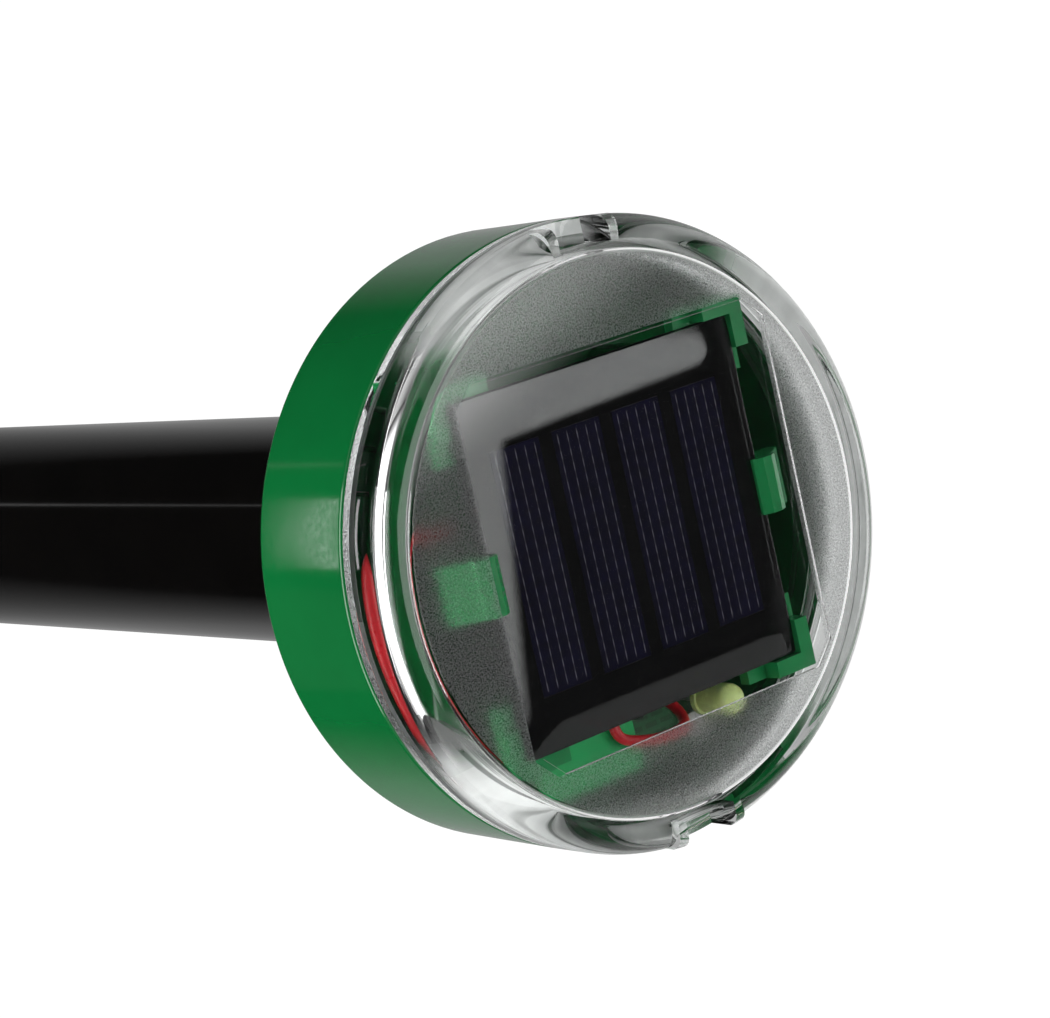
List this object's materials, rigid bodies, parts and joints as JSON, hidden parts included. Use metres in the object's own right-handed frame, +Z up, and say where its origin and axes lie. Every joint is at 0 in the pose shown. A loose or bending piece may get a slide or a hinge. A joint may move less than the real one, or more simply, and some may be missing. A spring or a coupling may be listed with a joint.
{
  "type": "ultrasonic pest repeller",
  "caption": "Solar garden stake that repels burrowing pests with sound: round green head with a clear twist-off cover over a solar panel, on a black tube with a ground spike.",
  "frame": {"origin": "on the stake's axis, at the lower end of the head's collar, where the exposed tube starts", "axes": "+Z up along the stake towards the cover, X and Y along the edges of the solar panel"},
  "size_m": [0.098, 0.098, 0.3098],
  "materials": {
    "green_gloss": "gloss moulded green",
    "carrier_green": "moulded green",
    "clear_plastic": "clear, frosted on the face outside the window",
    "black_gloss": "gloss black",
    "panel_black": "gloss black",
    "cell_indigo": "dark silicon with fine silver lines",
    "panel_clear": "clear resin",
    "seal_black": "matt rubber",
    "seal_milky": "translucent silicone",
    "steel": "plated",
    "brass": "bright",
    "ceramic": "matt, silver-fired",
    "board_green": "solder mask",
    "chip_black": "moulded",
    "capacitor_blue": "sleeved can",
    "copper": "enamelled wire on a ferrite core",
    "lamp_green": "diffused",
    "wire_red": "insulated",
    "wire_black": "insulated",
    "battery_wrap": "sleeved steel can",
    "switch_white": "moulded"
  },
  "bodies": {
    "head": {"head_housing": "green_gloss", "stake_collar": "green_gloss", "panel_carrier": "carrier_green", "carrier_screws": "steel", "panel_board": "panel_black", "solar_cells": "cell_indigo", "panel_resin": "panel_clear", "circuit_board": "board_green", "board_screws": "steel", "controller_chip": "chip_black", "filter_capacitor": "capacitor_blue", "boost_coil": "copper", "status_led": "lamp_green", "led_legs": "steel", "switch_body": "chip_black", "battery_cell": "battery_wrap", "battery_plate": "steel", "battery_leaf": "steel", "stake_tube": "black_gloss", "neck_gasket": "seal_black", "ground_spike": "black_gloss", "sounder_case": "chip_black", "sounder_disc": "brass", "sounder_ceramic": "ceramic", "panel_lead_red": "wire_red", "panel_lead_black": "wire_black", "battery_lead_red": "wire_red", "battery_lead_black": "wire_black", "sounder_lead_red": "wire_red", "sounder_lead_black": "wire_black"},
    "cover": {"clear_cover": "clear_plastic", "cover_seal": "seal_milky"},
    "button": {"power_button": "seal_black", "switch_plunger": "switch_white"}
  },
  "joints": [
    {"name": "cover_twist", "type": "hinge", "parent": "head", "child": "cover", "pos_m": [0, 0, 0.037], "axis": [0, 0, 1], "range_deg": [0, 20]},
    {"name": "button_press", "type": "slide", "parent": "head", "child": "button", "axis": [0, 0, 1], "range_m": [0, 0.0015], "stiffness_N_per_m": 800, "springref_m": -0.001}
  ]
}
